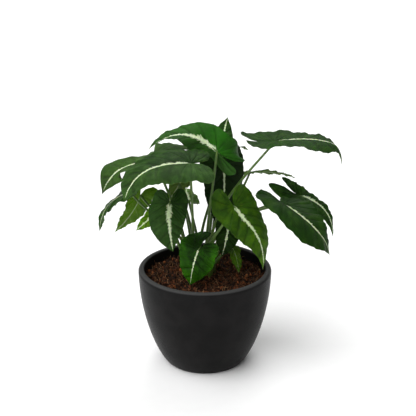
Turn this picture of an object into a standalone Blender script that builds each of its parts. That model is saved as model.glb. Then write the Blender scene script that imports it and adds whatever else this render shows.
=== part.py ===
"""A potted syngonium: a tapered pot, its soil, two short stems and the arrow-shaped leaves on their stalks.

Metres, +Z up. The origin is the middle of the pot's flat base, and the plant faces -Y.
"""
import math
from typing import NamedTuple

import bmesh
import bpy
import numpy as np
from mathutils import Vector

MM = 0.001

# Pot
POT_HEIGHT = 0.1265
RIM_RADIUS = 0.0846
BASE_RADIUS = 0.0495
BELLY_REACH = 1.91
BELLY_ROUND = 1.29
RIM_WALL = 0.0076
RIM_OUTER_ROUND = 0.0042
RIM_INNER_ROUND = 0.0018
WALL = 0.0065
FLOOR = 0.007
INNER_FOOT_ROUND = 0.006
POT_SIDES = 48
POT_RINGS = 11
POT_RING_PACKING = 1.6
INNER_RING_HEIGHTS = (0.028, 0.050, 0.080)

# Soil
GAP = 0.0003
SOIL_EDGE = 0.1115
SOIL_MOUND = 0.0055
SOIL_LUMP = 0.0011
# Waves of the soil's top: share of SOIL_LUMP, radians per metre along X and Y, and where the wave starts
SOIL_LUMPS = ((0.5, 210, 180, 0.9), (0.5, 210, -180, 1.7), (0.7, 390, -260, 0), (0.6, 310, 340, 3.6))
SOIL_RINGS = 8

# Stalks, which stand in plain holes in the soil
STALK_FOOT_RADIUS = 0.0022
STALK_TOP_RADIUS = 0.0014
STALK_SIDES = 6
STALK_STEPS = 9
STALK_RISE = 0.40
STALK_LEAN = 0.72
STALK_LOW_BOW = 0.6
STALK_PAST_JOINT = 0.0008
CROWN_HEIGHT = 0.120
HOLE_DEPTH = 0.0145
HOLE_SIDES = 8

# Blades
BLADE_THICK = 0.0007
BLADE_STATIONS = 12
BLADE_ROWS = 3
VEIN_SLANT = 0.85
HALF_WIDTH = 0.34
LOBE_REACH = 0.3
HOOK_START = 0.74
WAVES = 2.5
SIDE_PHASE = 1.9

# Half of a flat blade in midrib lengths: from the inner corner of the rear lobe, which a straight edge
# joins to the stalk, round the lobe and on to the tip
OUTLINE = (
    (0.045, -0.225), (0.125, -0.325), (0.225, -0.330), (0.305, -0.225), (0.342, -0.060), (0.325, 0.160),
    (0.300, 0.370), (0.252, 0.570), (0.168, 0.755), (0.078, 0.890), (0.024, 0.960), (0.000, 1.000),
)


class Leaf(NamedTuple):
    """One leaf. Places are in millimetres and angles in degrees; pairs are the blade's two halves."""
    name: str
    foot: tuple
    joint: tuple
    mid: tuple
    tip: tuple
    faces: tuple
    broad: tuple = (1.0, 1.0)
    lobe: tuple = (1.0, 1.0)
    fold: tuple = (5.0, 5.0)
    curl: tuple = (20.0, 20.0)
    twist: float = 0.0
    skew: float = 0.0
    follow: float = 0.5
    droop: float = 0.0
    wave: float = 2.0
    bow: tuple = (0.0, 0.0, 0.0)
    hook: tuple = (0.0, 0.0, 0.0)


# fold is the angle at which both halves rise from the midrib, at the joint and at the tip; hook is how far
# the end of the tip is bent off the midrib's arc
LEAVES = (
    Leaf("leaf_01", (1, 4), (15, 7, 277), (-28, 13, 297), (-69, 5, 281), (-0.82, -0.25, 0.52),
         broad=(0.7, 0.9), lobe=(0.85, 1.25), fold=(-14, 28), curl=(31, 18), twist=-10, skew=0.1, wave=1.5),
    Leaf("leaf_02", (-14, -6), (-17, -44, 278), (-65, -71, 279), (-92, -99, 250), (-0.17, -0.18, 0.97),
         broad=(1.5, 1.35), lobe=(0.35, 1.1), fold=(23, 4), curl=(60, 38), twist=-10, skew=-0.2, droop=5,
         wave=1.5),
    Leaf("leaf_03", (-22, 8), (-62, 7, 270), (-99, 24, 252), (-127, -6, 226), (0.11, -0.14, 0.98),
         broad=(1.35, 1.3), lobe=(1.3, 1.6), fold=(8, 6), curl=(0, 18), twist=12, skew=-0.8, droop=9),
    Leaf("leaf_04", (-16, 20), (-37, 55, 240), (-43, 80, 246), (-53, 105, 240), (-0.10, 0.35, 0.90),
         broad=(1, 1), lobe=(1, 1), fold=(5, 5), curl=(20, 20)),
    Leaf("leaf_05", (-24, 2), (-93, 4, 226), (-120, 18, 205), (-134, 18, 168), (-0.26, -0.08, 0.96),
         broad=(1.1, 1.05), lobe=(0.9, 1.15), fold=(3, 2), curl=(13, 20), twist=8, skew=-0.3),
    Leaf("leaf_06", (-18, 12), (-82, 30, 212), (-95, 38, 184), (-117, 45, 156), (-0.60, 0.75, 0.35),
         broad=(0.8, 1.2), lobe=(0.6, 0.5), fold=(5, 5), curl=(10, 10)),
    Leaf("leaf_07", (-26, -5), (-52, -14, 212), (-69, -17, 197), (-85, -19, 183), (-0.30, -0.60, 0.70),
         broad=(0.9, 0.9), lobe=(1, 1), fold=(10, 10), curl=(20, 20)),
    Leaf("leaf_08", (-20, -5), (-42, -38, 226), (-42, -61, 204), (-38, -63, 173), (0.01, -0.91, 0.42),
         broad=(1.2, 1.4), lobe=(0.9, 0.95), fold=(-13, 1), curl=(26, 25), twist=29),
    Leaf("leaf_09", (-11, 11), (-32, 30, 228), (-44, 31, 207), (-58, 33, 184), (-0.50, 0.80, 0.30),
         broad=(0.8, 0.8), lobe=(1, 1), fold=(5, 5), curl=(20, 20)),
    Leaf("leaf_10", (-6, 22), (-21, 58, 195), (-24, 78, 197), (-25, 98, 198), (0.00, -0.20, 0.95),
         broad=(1, 1), lobe=(1, 1), fold=(5, 5), curl=(20, 20)),
    Leaf("leaf_11", (4, 29), (22, 61, 256), (24, 86, 273), (30, 111, 292), (0.00, -0.60, 0.80),
         broad=(0.8, 0.75), lobe=(1, 1), fold=(15, 15), curl=(20, 20)),
    Leaf("leaf_12", (7, 16), (86, 4, 291), (138, -3, 295), (173, 1, 278), (0.42, 0.06, 0.90),
         broad=(1.25, 1.15), lobe=(1.2, 0.9), fold=(12, -14), curl=(0, 30), twist=-7, skew=-0.1,
         follow=0.7, droop=-4, bow=(-14, 0, 0), hook=(-4, 0, -17)),
    Leaf("leaf_13", (16, 36), (58, 62, 232), (90, 64, 231), (118, 65, 223), (0.05, 0.42, 0.90),
         broad=(0.8, 0.8), lobe=(0.5, 0.5), fold=(0, 0), curl=(0, 0), wave=1),
    Leaf("leaf_14", (8, 22), (23, 34, 253), (24, 28, 211), (16, 19, 168), (0.42, -0.77, 0.48),
         broad=(1.05, 1.05), lobe=(0.9, 0.95), fold=(4, 6), curl=(21, 20), twist=-4, skew=-0.1,
         bow=(0, 6, 0)),
    Leaf("leaf_15", (-5, -17), (36, -33, 220), (60, -47, 193), (71, -52, 146), (0.51, -0.78, 0.36),
         broad=(1.12, 1), lobe=(0.8, 0.95), fold=(9, -10), curl=(29, 23), twist=15, skew=-0.7, follow=-0.5,
         droop=-3, bow=(-2, -10, 0)),
    Leaf("leaf_16", (-4, -4), (98, -1, 211), (130, -33, 196), (157, -32, 159), (0.53, -0.04, 0.85),
         broad=(1.1, 1.65), lobe=(0.5, 0.45), fold=(22, 2), curl=(0, 45), twist=-25, skew=-0.1,
         follow=0.95, droop=-3, bow=(-10, 0, 18), hook=(-3, 0, -4)),
    Leaf("leaf_17", (4, 9), (124, 50, 204), (153, 53, 186), (166, 34, 160), (-0.01, -0.49, 0.87),
         broad=(0.55, 1), lobe=(1.65, 1.8), fold=(30, -12), curl=(10, 36), twist=45, skew=-0.1, follow=0.7,
         droop=-5, bow=(-10, 0, 14), hook=(-1, -3, -5)),
    Leaf("leaf_18", (-8, -10), (-7, -46, 169), (-14, -48, 148), (-18, -45, 121), (-0.60, -0.67, 0.44),
         broad=(1.6, 1.6), lobe=(1.1, 1.8), fold=(7, -5), curl=(38, 0), twist=25, skew=0.1, follow=1.05,
         droop=4),
    Leaf("leaf_19", (3, -8), (29, -24, 189), (26, -31, 174), (21, -35, 155), (-0.10, -0.90, 0.35),
         broad=(1.35, 1.3), lobe=(1, 1), fold=(5, 5), curl=(20, 20)),
    Leaf("leaf_20", (7, -14), (33, -18, 163), (39, -29, 151), (42, -38, 134), (0.50, -0.40, 0.50),
         broad=(0.9, 0.9), lobe=(0.4, 0.4), fold=(5, 5), curl=(20, 20)),
    Leaf("leaf_21", (13, 28), (36, 70, 208), (41, 91, 186), (44, 107, 152), (0.10, 0.75, 0.60),
         broad=(0.9, 0.8), lobe=(0.5, 0.5), fold=(5, 5), curl=(20, 20)),
    Leaf("leaf_22", (-8, 34), (25, 86, 241), (41, 92, 256), (57, 99, 250), (0.05, 0.45, 0.90),
         broad=(0.8, 0.8), lobe=(1, 1), fold=(0, 0), curl=(0, 0)),
)


class Stem(NamedTuple):
    """A short stem among the stalks' feet, in millimetres."""
    name: str
    foot: tuple
    radius: float
    height: float


STEMS = (
    Stem("stem_1", (-14, 3), 3.6, 20),
    Stem("stem_2", (10, 3), 3.9, 24),
)
STEM_SIDES = 10
STEM_RINGS = (
    (0.00, 0.94), (0.30, 1.00), (0.44, 0.90), (0.50, 1.06), (0.57, 0.92), (0.78, 0.86), (0.90, 0.56),
    (1.00, 0.16),
)
STEM_WIDEST = max(width for _, width in STEM_RINGS)


def material(name, colour, roughness):
    made = bpy.data.materials.new(name)
    made.use_nodes = True
    shader = made.node_tree.nodes["Principled BSDF"]
    shader.inputs["Base Color"].default_value = (*colour, 1.0)
    shader.inputs["Roughness"].default_value = roughness
    shader.inputs["Metallic"].default_value = 0.0
    made.diffuse_color = (*colour, 1.0)
    return made


def add_object(name, bm, finish, sharp_degrees=40.0):
    mesh = bpy.data.meshes.new(name)
    bm.to_mesh(mesh)
    bm.free()
    mesh.materials.append(finish)
    mesh.shade_smooth()
    mesh.set_sharp_from_angle(angle=math.radians(sharp_degrees))
    added = bpy.data.objects.new(name, mesh)
    bpy.context.scene.collection.objects.link(added)
    return added


def turned(rings, sides):
    """A closed solid from (radius, height function) rings; the first and last rings are capped at the axis."""
    bm = bmesh.new()
    loops = []
    for radius, height in rings:
        angles = [2 * math.pi * k / sides for k in range(sides)]
        points = [(radius * math.cos(a), radius * math.sin(a)) for a in angles]
        loops.append([bm.verts.new((x, y, height(x, y))) for x, y in points])
    for lower, upper in zip(loops[:-1], loops[1:]):
        for k in range(sides):
            after = (k + 1) % sides
            bm.faces.new((lower[k], lower[after], upper[after], upper[k]))
    for loop, height, turn in ((loops[0], rings[0][1], -1), (loops[-1], rings[-1][1], 1)):
        centre = bm.verts.new((0, 0, height(0, 0)))
        for k in range(sides):
            bm.faces.new((loop[k], loop[(k + 1) % sides], centre)[::turn])
    bmesh.ops.triangulate(bm, faces=bm.faces)
    return bm


def level(z):
    return lambda x, y: z


# Pot

def outer_radius(z):
    t = min(max(z / POT_HEIGHT, 0.0), 1.0)
    return BASE_RADIUS + (RIM_RADIUS - BASE_RADIUS) * (1 - (1 - t) ** BELLY_REACH) ** (1 / BELLY_ROUND)


def inner_radius(z):
    return outer_radius(z) - WALL - (RIM_WALL - WALL) * max(z, 0.0) / POT_HEIGHT


def rim_arc(centre_radius, rounding, start, end, steps):
    """Points on a rounded edge of the rim between two angles in degrees."""
    angles = [math.radians(start + (end - start) * k / steps) for k in range(steps + 1)]
    centre_z = POT_HEIGHT - rounding
    return [(centre_radius + rounding * math.cos(a), centre_z + rounding * math.sin(a)) for a in angles]


def pot_heights():
    """Heights up the side, closer together near the base where the side curves most."""
    top = POT_HEIGHT - RIM_OUTER_ROUND
    return [top * (k / POT_RINGS) ** POT_RING_PACKING for k in range(POT_RINGS)]


def inner_profile():
    """The cavity's side from its floor up to where the soil meets it."""
    corner = inner_radius(FLOOR + INNER_FOOT_ROUND)
    inset = INNER_FOOT_ROUND * (1 - math.sqrt(0.5))
    foot = [(corner - INNER_FOOT_ROUND, FLOOR), (corner - inset, FLOOR + inset)]
    return foot + [(inner_radius(z), z) for z in (FLOOR + INNER_FOOT_ROUND, *INNER_RING_HEIGHTS, SOIL_EDGE)]


def build_pot():
    side = [(outer_radius(z), z) for z in pot_heights()]
    outer_edge = rim_arc(RIM_RADIUS - RIM_OUTER_ROUND, RIM_OUTER_ROUND, 0, 90, 5)
    inner_edge = rim_arc(RIM_RADIUS - RIM_WALL + RIM_INNER_ROUND, RIM_INNER_ROUND, 90, 180, 3)
    rings = side + outer_edge + inner_edge + inner_profile()[::-1]
    bm = turned([(radius, level(z)) for radius, z in rings], POT_SIDES)
    return add_object("pot", bm, material("pot_finish", (0.018, 0.018, 0.020), 0.62), 35)


# Soil

def soil_height(x, y):
    """The soil's lumpy top, mounded in the middle."""
    edge = inner_radius(SOIL_EDGE) - GAP
    out = min(math.hypot(x, y) / edge, 1.0)
    mound = SOIL_MOUND * (1 - out ** 2)
    lumps = sum(share * math.sin(per_x * x + per_y * y + start) for share, per_x, per_y, start in SOIL_LUMPS)
    return SOIL_EDGE + mound + SOIL_LUMP * lumps * (1 - out ** 6)


def hole(x, y, radius):
    """A cutter for the plain hole that a stalk or stem stands in."""
    bm = bmesh.new()
    bottom = CROWN_HEIGHT - HOLE_DEPTH
    corner = radius / math.cos(math.pi / HOLE_SIDES)
    bmesh.ops.create_cone(bm, cap_ends=True, segments=HOLE_SIDES, radius1=corner, radius2=corner,
                          depth=2 * HOLE_DEPTH)
    bmesh.ops.translate(bm, verts=bm.verts, vec=(x, y, bottom + HOLE_DEPTH))
    mesh = bpy.data.meshes.new("hole")
    bm.to_mesh(mesh)
    bm.free()
    return bpy.data.objects.new("hole", mesh)


def apply_boolean(target, tools, operation):
    """Join or cut target with the tools in one Boolean on a collection, then remove the tools."""
    group = bpy.data.collections.new("tools")
    bpy.context.scene.collection.children.link(group)
    for tool in tools:
        group.objects.link(tool)
    step = target.modifiers.new("tools", "BOOLEAN")
    step.operation = operation
    step.solver = "EXACT"
    step.operand_type = "COLLECTION"
    step.collection = group
    seen = target.evaluated_get(bpy.context.evaluated_depsgraph_get())
    result = bpy.data.meshes.new_from_object(seen)
    target.modifiers.remove(step)
    target.data = result
    for tool in tools:
        bpy.data.objects.remove(tool)
    bpy.data.collections.remove(group)


def build_soil():
    side = [(radius - GAP, z + GAP) for radius, z in inner_profile()]
    rings = [(radius, level(z)) for radius, z in side[:-1]]
    edge = side[-1][0]
    rings += [(edge * (1 - k / SOIL_RINGS), soil_height) for k in range(SOIL_RINGS)]
    bark = material("soil_bark", (0.060, 0.026, 0.014), 0.95)
    soil = add_object("soil", turned(rings, POT_SIDES), bark, 60)
    holes = [hole(leaf.foot[0] * MM, leaf.foot[1] * MM, STALK_FOOT_RADIUS + GAP) for leaf in LEAVES]
    for stem in STEMS:
        holes.append(hole(stem.foot[0] * MM, stem.foot[1] * MM, stem.radius * MM * STEM_WIDEST + GAP))
    apply_boolean(soil, holes, "DIFFERENCE")
    return soil


# Stems

def build_stem(stem):
    """A short stem with one ringed joint, closing to a blunt growing point."""
    bm = bmesh.new()
    bottom = CROWN_HEIGHT - HOLE_DEPTH + GAP
    top = CROWN_HEIGHT + stem.height * MM
    loops = []
    for share, width in STEM_RINGS:
        radius = stem.radius * MM * width
        z = bottom + (top - bottom) * share
        loops.append([bm.verts.new((radius * math.cos(a), radius * math.sin(a), z))
                      for a in (2 * math.pi * k / STEM_SIDES for k in range(STEM_SIDES))])
    for lower, upper in zip(loops[:-1], loops[1:]):
        for k in range(STEM_SIDES):
            after = (k + 1) % STEM_SIDES
            bm.faces.new((lower[k], lower[after], upper[after], upper[k]))
    bm.faces.new(loops[0][::-1])
    bm.faces.new(loops[-1])
    made = add_object(stem.name, bm, material(stem.name + "_green", (0.16, 0.24, 0.05), 0.55))
    made.location = (stem.foot[0] * MM, stem.foot[1] * MM, 0)
    return made


# Blades

def unit(v):
    return v / np.linalg.norm(v, axis=-1, keepdims=True)


def metres(point):
    return np.array(point, float) * MM


def outline_curve(steps=12):
    """The outline as a smooth Catmull-Rom curve."""
    p = np.array(OUTLINE)
    p = np.vstack([2 * p[0] - p[1], p, 2 * p[-1] - p[-2]])
    t = (np.arange(steps) / steps)[:, None]
    runs = []
    for a, b, c, d in zip(p[:-3], p[1:-2], p[2:-1], p[3:]):
        squared, cubed = 2 * a - 5 * b + 4 * c - d, 3 * b - a - 3 * c + d
        runs.append(0.5 * (2 * b + (c - a) * t + squared * t ** 2 + cubed * t ** 3))
    return np.vstack(runs + [p[-2:-1]])


def margin(leaf, half, stations):
    """Evenly spaced points of one half's edge, round the lobe and on to the tip."""
    curve = outline_curve()
    curve[:, 0] = np.maximum(curve[:, 0], 0) * leaf.broad[half]
    curve[:, 1] *= np.where(curve[:, 1] < 0, leaf.lobe[half], 1.0)
    run = np.r_[0, np.cumsum(np.linalg.norm(np.diff(curve, axis=0), axis=1))]
    at = np.linspace(0, run[-1], stations + 1)
    return np.stack([np.interp(at, run, curve[:, 0]), np.interp(at, run, curve[:, 1])], -1)


def midrib_roots(stations):
    """Where the veins that reach the margin's stations leave the midrib."""
    edge = margin(Leaf("flat", (), (), (), (), ()), 0, stations)
    roots = np.maximum.accumulate(np.clip(edge[:, 1] - VEIN_SLANT * edge[:, 0], 0, 1))
    roots[-1] = 1.0
    return roots


def spine(leaf, y):
    """The midrib at share y of its length: an arc through joint, mid and tip, carried on behind the joint."""
    joint, mid, tip = metres(leaf.joint), metres(leaf.mid), metres(leaf.tip)
    arch = mid - (joint + tip) / 2
    y = np.asarray(y, float)[..., None]
    ahead, behind = np.maximum(y, 0), np.minimum(y, 0)
    bend = 4 * ahead * (1 - ahead) * (1 + leaf.skew * (1 - 2 * ahead))
    bend = bend + 4 * (1 + leaf.skew) * behind * (1 + 3 * (1 - leaf.follow) * behind)
    hooked = np.clip((y - HOOK_START) / (1 - HOOK_START), 0, None) ** 2
    return joint + (tip - joint) * y + arch * bend + metres(leaf.hook) * hooked


def midrib_frame(leaf, y):
    """Point, sideways and upward directions of the blade along its midrib."""
    y = np.asarray(y, float)
    along = unit(spine(leaf, y + 0.001) - spine(leaf, y - 0.001))
    faces = np.broadcast_to(np.array(leaf.faces, float), along.shape)
    up = unit(faces - (faces * along).sum(-1, keepdims=True) * along)
    side = np.cross(along, up)
    turn = np.radians(leaf.twist) * y[..., None]
    side, up = side * np.cos(turn) + up * np.sin(turn), up * np.cos(turn) - side * np.sin(turn)
    sag = leaf.droop * MM * (np.minimum(y, 0)[..., None] / LOBE_REACH) ** 2
    return spine(leaf, y) - up * sag, side, up


def blade_points(leaf, half, x, y, share):
    """Points of the curved blade for flat points x out from the midrib and y along it."""
    point, side, up = midrib_frame(leaf, y)
    length = np.linalg.norm(metres(leaf.tip) - metres(leaf.joint))
    sign = (-1, 1)[half]
    width = HALF_WIDTH * leaf.broad[half]
    fold = np.radians(leaf.fold[0] + (leaf.fold[1] - leaf.fold[0]) * np.clip(y, 0, 1))
    bend = max(math.radians(leaf.curl[half]), 0.001) / width
    out = (np.sin(fold) - np.sin(fold - bend * x)) / bend
    rise = (np.cos(fold - bend * x) - np.cos(fold)) / bend
    ripple = np.sin(2 * np.pi * WAVES * share + (SIDE_PHASE, 0)[half])
    lift = rise * length + leaf.wave * MM * (x / width) ** 1.5 * ripple
    return point + side * (sign * out * length)[..., None] + up * lift[..., None]


def blade_sheet(leaf, stations, rows):
    """Middle surface of a blade: its points and its triangles, alike for both faces."""
    roots = midrib_roots(stations)
    share = np.linspace(0, 1, stations + 1)
    points = [spine(leaf, 0.0)]
    midrib = []
    for root in roots:
        if root > 0:
            points.append(spine(leaf, root))
        midrib.append(len(points) - 1)
    triangles = []
    for half in (0, 1):
        edge = margin(leaf, half, stations)
        columns = []
        for k in range(stations):
            reach = np.arange(1, rows + 1) / rows
            x = edge[k, 0] * reach
            y = roots[k] + (edge[k, 1] - roots[k]) * reach
            first = len(points)
            points.extend(blade_points(leaf, half, x, y, np.full(rows, share[k])))
            columns.append([midrib[k]] + list(range(first, first + rows)))
        columns.append([midrib[stations]] * (rows + 1))
        for near, far in zip(columns[:-1], columns[1:]):
            for r in range(rows):
                for corners in ((near[r], far[r], far[r + 1]), (near[r], far[r + 1], near[r + 1])):
                    if len(set(corners)) == 3:
                        triangles.append(corners if half else corners[::-1])
    return np.array(points), triangles


def build_blade(leaf):
    points, triangles = blade_sheet(leaf, BLADE_STATIONS, BLADE_ROWS)
    sheet = bmesh.new()
    verts = [sheet.verts.new(p) for p in points]
    for corners in triangles:
        sheet.faces.new([verts[k] for k in corners])
    sheet.normal_update()
    normals = [v.normal.copy() for v in verts]
    sheet.verts.index_update()
    walls = [tuple(loop.vert.index for loop in (e.link_loops[0], e.link_loops[0].link_loop_next))
             for e in sheet.edges if e.is_boundary]
    sheet.free()
    bm = bmesh.new()
    upper = [bm.verts.new(Vector(p) + n * BLADE_THICK / 2) for p, n in zip(points, normals)]
    lower = [bm.verts.new(Vector(p) - n * BLADE_THICK / 2) for p, n in zip(points, normals)]
    for a, b, c in triangles:
        bm.faces.new((upper[a], upper[b], upper[c]))
        bm.faces.new((lower[c], lower[b], lower[a]))
    for a, b in walls:
        bm.faces.new((upper[b], upper[a], lower[a]))
        bm.faces.new((upper[b], lower[a], lower[b]))
    return bm


def stalk_route(leaf):
    """Centre line of a stalk: straight up out of its hole, then leaning over to the joint."""
    joint = metres(leaf.joint)
    foot = np.array([leaf.foot[0] * MM, leaf.foot[1] * MM, CROWN_HEIGHT])
    bow = metres(leaf.bow)
    reach = np.linalg.norm(joint - foot)
    first = foot + np.array([0, 0, STALK_RISE * reach]) + STALK_LOW_BOW * bow
    second = foot + (joint - foot) * STALK_LEAN + bow
    t = np.linspace(0, 1, STALK_STEPS + 1)[:, None]
    curve = (1 - t) ** 3 * foot + 3 * (1 - t) ** 2 * t * first + 3 * (1 - t) * t ** 2 * second + t ** 3 * joint
    curve[-1] += unit(curve[-1] - curve[-2]) * STALK_PAST_JOINT
    buried = foot - np.array([0, 0, HOLE_DEPTH - GAP])
    return np.vstack([buried, curve])


def build_stalk(leaf):
    route = stalk_route(leaf)
    along = unit(np.vstack([route[1] - route[0], route[2:] - route[:-2], route[-1] - route[-2]]))
    run = np.r_[0, np.cumsum(np.linalg.norm(np.diff(route, axis=0), axis=1))]
    radius = STALK_FOOT_RADIUS + (STALK_TOP_RADIUS - STALK_FOOT_RADIUS) * run / run[-1]
    bm = bmesh.new()
    across = np.array([1.0, 0.0, 0.0])
    loops = []
    for point, direction, r in zip(route, along, radius):
        across = unit(across - (across @ direction) * direction)
        third = np.cross(direction, across)
        angles = [2 * math.pi * k / STALK_SIDES for k in range(STALK_SIDES)]
        loops.append([bm.verts.new(point + r * (across * math.cos(a) + third * math.sin(a))) for a in angles])
    for lower, upper in zip(loops[:-1], loops[1:]):
        for k in range(STALK_SIDES):
            after = (k + 1) % STALK_SIDES
            bm.faces.new((lower[k], lower[after], upper[after], upper[k]))
    bm.faces.new(loops[0][::-1])
    bm.faces.new(loops[-1])
    mesh = bpy.data.meshes.new("stalk")
    bm.to_mesh(mesh)
    bm.free()
    return bpy.data.objects.new("stalk", mesh)


def build_leaf(leaf):
    """A blade and its stalk, grown together as one piece."""
    made = add_object(leaf.name, build_blade(leaf), material(leaf.name + "_green", (0.035, 0.095, 0.022), 0.42))
    apply_boolean(made, [build_stalk(leaf)], "UNION")
    return made


def main():
    for old in list(bpy.data.objects):
        bpy.data.objects.remove(old)
    build_pot()
    build_soil()
    for stem in STEMS:
        build_stem(stem)
    for leaf in LEAVES:
        build_leaf(leaf)


main()
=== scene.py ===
import math
from typing import NamedTuple

import bpy
import numpy as np
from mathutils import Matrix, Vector


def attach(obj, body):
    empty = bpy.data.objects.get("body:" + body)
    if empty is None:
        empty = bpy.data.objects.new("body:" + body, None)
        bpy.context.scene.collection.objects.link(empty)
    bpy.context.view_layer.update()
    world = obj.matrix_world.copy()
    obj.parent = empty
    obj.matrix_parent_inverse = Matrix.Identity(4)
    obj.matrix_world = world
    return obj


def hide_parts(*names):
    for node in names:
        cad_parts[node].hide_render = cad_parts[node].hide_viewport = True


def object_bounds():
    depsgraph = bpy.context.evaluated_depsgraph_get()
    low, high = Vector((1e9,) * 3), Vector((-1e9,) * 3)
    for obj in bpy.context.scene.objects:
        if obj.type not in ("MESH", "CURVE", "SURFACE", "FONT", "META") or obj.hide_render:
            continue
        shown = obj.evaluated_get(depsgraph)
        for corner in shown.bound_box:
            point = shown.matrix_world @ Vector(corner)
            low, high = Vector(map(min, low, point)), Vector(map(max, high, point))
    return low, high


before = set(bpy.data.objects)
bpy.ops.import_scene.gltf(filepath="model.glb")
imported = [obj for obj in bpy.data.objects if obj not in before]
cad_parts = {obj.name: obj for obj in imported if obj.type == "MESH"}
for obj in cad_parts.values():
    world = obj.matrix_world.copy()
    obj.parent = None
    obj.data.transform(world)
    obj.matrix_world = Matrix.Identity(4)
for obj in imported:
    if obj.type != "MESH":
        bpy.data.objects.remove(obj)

CAD_LOW, CAD_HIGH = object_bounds()
MM = 0.001

# Pot, as in the part
POT_HEIGHT = 0.1265
RIM_RADIUS = 0.0846
BASE_RADIUS = 0.0495
BELLY_REACH = 1.91
BELLY_ROUND = 1.29
RIM_WALL = 0.0076
RIM_OUTER_ROUND = 0.0042
RIM_INNER_ROUND = 0.0018
WALL = 0.0065
FLOOR = 0.007
INNER_FOOT_ROUND = 0.006
POT_SIDES = 144
POT_STEPS = 40
WELD = 0.00002
# Depth and strength of the painted highlight on the top of the rim
RIM_PAINTED_HIGHLIGHT_DEPTH = 0.0026
RIM_PAINTED_HIGHLIGHT_SHARE = 0.75

# Soil
GAP = 0.0003
SOIL_EDGE = 0.1115
SOIL_MOUND = 0.0055
SOIL_LUMP = 0.0011
SOIL_LUMPS = ((0.5, 210, 180, 0.9), (0.5, 210, -180, 1.7), (0.7, 390, -260, 0), (0.6, 310, 340, 3.6))
SOIL_SIDES = 120
SOIL_RINGS = 44
SOIL_SIDE_HEIGHTS = (0.100, 0.080, 0.050, 0.028)
LUMPS_FADE = 0.004
FULL_TURN = 6.283

# Stalks
STALK_FOOT_RADIUS = 0.0022
STALK_TOP_RADIUS = 0.0014
STALK_SIDES = 14
STALK_STEPS = 34
STALK_RISE = 0.40
STALK_LEAN = 0.72
STALK_LOW_BOW = 0.6
CROWN_HEIGHT = 0.120
HOLE_DEPTH = 0.0145
STALK_FLARE = 0.35
STALK_FLARE_REACH = 0.012
STEM_SIDES = 28

# A stalk's run on under the midrib: shares of the midrib, radii there, and the depth below the blade
RIB_STOPS = (0.025, 0.055, 0.09)
RIB_RADII = (0.00115, 0.0008, 0.0004)
RIB_BELOW = 0.0006

# Blades
BLADE_STATIONS = 72
BLADE_ROWS = 14
ROW_SPREAD = 1.3
HALF_THICK = 0.00024
VEIN_SLANT = 0.85
HALF_WIDTH = 0.34
LOBE_REACH = 0.3
HOOK_START = 0.74
WAVES = 2.5
SIDE_PHASE = 1.9
VEINS = 10
QUILT = 0.0007
FRILL = 0.0009
FRILL_WAVES = 7.5
FINE_FRILL_WAVES = 17.3
FINE_FRILL_SHARE = 0.6
MIDRIB_STEP = 0.001
RIB_DEPTH = 0.0007
RIB_WIDTH = 0.0011
GROOVE_DEPTH = 0.00025

# Pattern on a blade: scales are waves a metre, and veins' widths are shares of the way to the next one
FEATHER_ACROSS = 130.0
FEATHER_ALONG = 800.0
RAGGED_SCALE = 900.0
NET_SCALE = 420.0
MOTTLE_SCALE = 85.0
DEEP_SCALE = 60.0
FINE_SCALE = 900.0
VEIN_WIDTH = 0.045
HALO_WIDTH = 0.20
STRIPE_BLUR = 0.0003
STRIPE_COLOUR = (222, 234, 196)

# Camera, at the angle of the photograph, and the even light of the room
CAMERA_PLACE = (0.00395, -1.28486, 0.680)
CAMERA_PITCH = 20.258
CAMERA_LENS = 95.07
CAMERA_SENSOR = 36.0
ROOM_LIGHT = 0.22
FLOOR_SIZE = 14

# Half of a flat blade in midrib lengths, from the inner corner of its lobe, round the lobe and on to the tip
OUTLINE = (
    (0.045, -0.225), (0.125, -0.325), (0.225, -0.330), (0.305, -0.225), (0.342, -0.060), (0.325, 0.160),
    (0.300, 0.370), (0.252, 0.570), (0.168, 0.755), (0.078, 0.890), (0.024, 0.960), (0.000, 1.000),
)


class Leaf(NamedTuple):
    """One leaf. Places are in millimetres and angles in degrees; pairs are the blade's two halves.

    The stalk runs from foot to joint, and the midrib from joint through mid to tip. The upper side looks
    towards faces, follow is how far the lobes keep to the midrib's bend, bow bends the stalk, and hook
    bends the tip.
    """
    name: str
    foot: tuple
    joint: tuple
    mid: tuple
    tip: tuple
    faces: tuple
    broad: tuple = (1.0, 1.0)
    lobe: tuple = (1.0, 1.0)
    fold: tuple = (5.0, 5.0)
    curl: tuple = (20.0, 20.0)
    twist: float = 0.0
    skew: float = 0.0
    follow: float = 0.5
    droop: float = 0.0
    wave: float = 2.0
    bow: tuple = (0.0, 0.0, 0.0)
    hook: tuple = (0.0, 0.0, 0.0)


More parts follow.
